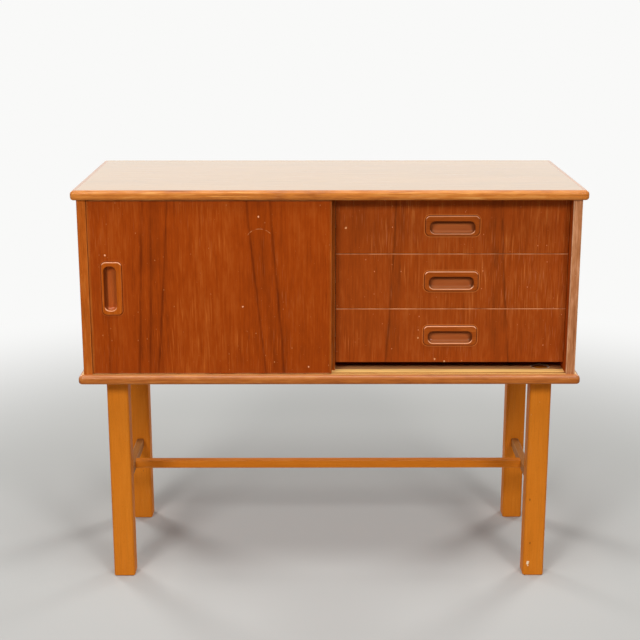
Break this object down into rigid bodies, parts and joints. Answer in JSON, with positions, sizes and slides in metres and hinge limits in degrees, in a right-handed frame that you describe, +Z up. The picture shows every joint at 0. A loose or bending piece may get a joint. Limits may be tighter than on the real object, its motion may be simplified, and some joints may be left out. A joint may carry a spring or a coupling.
{
  "type": "hall cabinet",
  "caption": "Low teak hall cabinet on tall square legs with stretchers: a sliding door with a recessed pull beside a stack of drawers, under an overhanging top.",
  "frame": {"origin": "on the floor, under the middle of the top board", "axes": "+X to the right as seen from the front, +Y to the back, +Z up; the door and drawers face -Y"},
  "size_m": [0.9, 0.39, 0.74],
  "materials": {
    "teak_veneer": "oiled teak veneer with a satin sheen",
    "teak_solid": "oiled solid teak, paler than the veneer",
    "stained_beech": "beech stained golden orange, satin varnish",
    "drawer_beech": "bare beech",
    "hardboard": "brown hardboard, smooth face",
    "steel": "dull zinc-plated steel",
    "brass": "dull brass",
    "fibre": "off-white nylon"
  },
  "bodies": {
    "carcass": {"top_panel": "teak_veneer", "bottom_panel": "teak_veneer", "left_side": "teak_veneer", "right_side": "teak_veneer", "centre_divider": "teak_veneer", "top_front_lipping": "teak_solid", "top_left_lipping": "teak_solid", "top_right_lipping": "teak_solid", "bottom_front_rail": "teak_solid", "bottom_left_lipping": "teak_solid", "bottom_right_lipping": "teak_solid", "left_side_lipping": "teak_solid", "right_side_lipping": "teak_solid", "centre_divider_lipping": "teak_solid", "front_left_leg": "stained_beech", "rear_left_leg": "stained_beech", "front_right_leg": "stained_beech", "rear_right_leg": "stained_beech", "left_side_stretcher": "stained_beech", "right_side_stretcher": "stained_beech", "long_stretcher": "stained_beech", "left_runners": "drawer_beech", "right_runners": "drawer_beech", "carcass_dowels": "drawer_beech", "back_panel": "hardboard", "back_panel_screws": "steel", "runner_screws": "steel", "shelf_pins": "brass"},
    "door": {"door_panel": "teak_veneer", "door_left_lipping": "teak_solid", "door_right_lipping": "teak_solid", "door_pull": "teak_solid", "door_head_guide": "drawer_beech", "door_glides": "fibre"},
    "lower_drawer": {"lower_drawer_front": "teak_veneer", "lower_drawer_pull": "teak_solid", "lower_drawer_left_side": "drawer_beech", "lower_drawer_right_side": "drawer_beech", "lower_drawer_back": "drawer_beech", "lower_drawer_bottom": "hardboard"},
    "middle_drawer": {"middle_drawer_front": "teak_veneer", "middle_drawer_pull": "teak_solid", "middle_drawer_left_side": "drawer_beech", "middle_drawer_right_side": "drawer_beech", "middle_drawer_back": "drawer_beech", "middle_drawer_bottom": "hardboard"},
    "upper_drawer": {"upper_drawer_front": "teak_veneer", "upper_drawer_pull": "teak_solid", "upper_drawer_left_side": "drawer_beech", "upper_drawer_right_side": "drawer_beech", "upper_drawer_back": "drawer_beech", "upper_drawer_bottom": "hardboard"},
    "shelf": {"shelf": "teak_veneer"}
  },
  "joints": [
    {"name": "door_slide", "type": "slide", "parent": "carcass", "child": "door", "axis": [-1, 0, 0], "range_m": [-0.42, 0]},
    {"name": "lower_drawer_slide", "type": "slide", "parent": "carcass", "child": "lower_drawer", "axis": [0, -1, 0], "range_m": [0, 0.25]},
    {"name": "middle_drawer_slide", "type": "slide", "parent": "carcass", "child": "middle_drawer", "axis": [0, -1, 0], "range_m": [0, 0.25]},
    {"name": "upper_drawer_slide", "type": "slide", "parent": "carcass", "child": "upper_drawer", "axis": [0, -1, 0], "range_m": [0, 0.25]},
    {"name": "shelf_lift", "type": "slide", "parent": "carcass", "child": "shelf", "axis": [0, 0, 1], "range_m": [0, 0.1]}
  ]
}
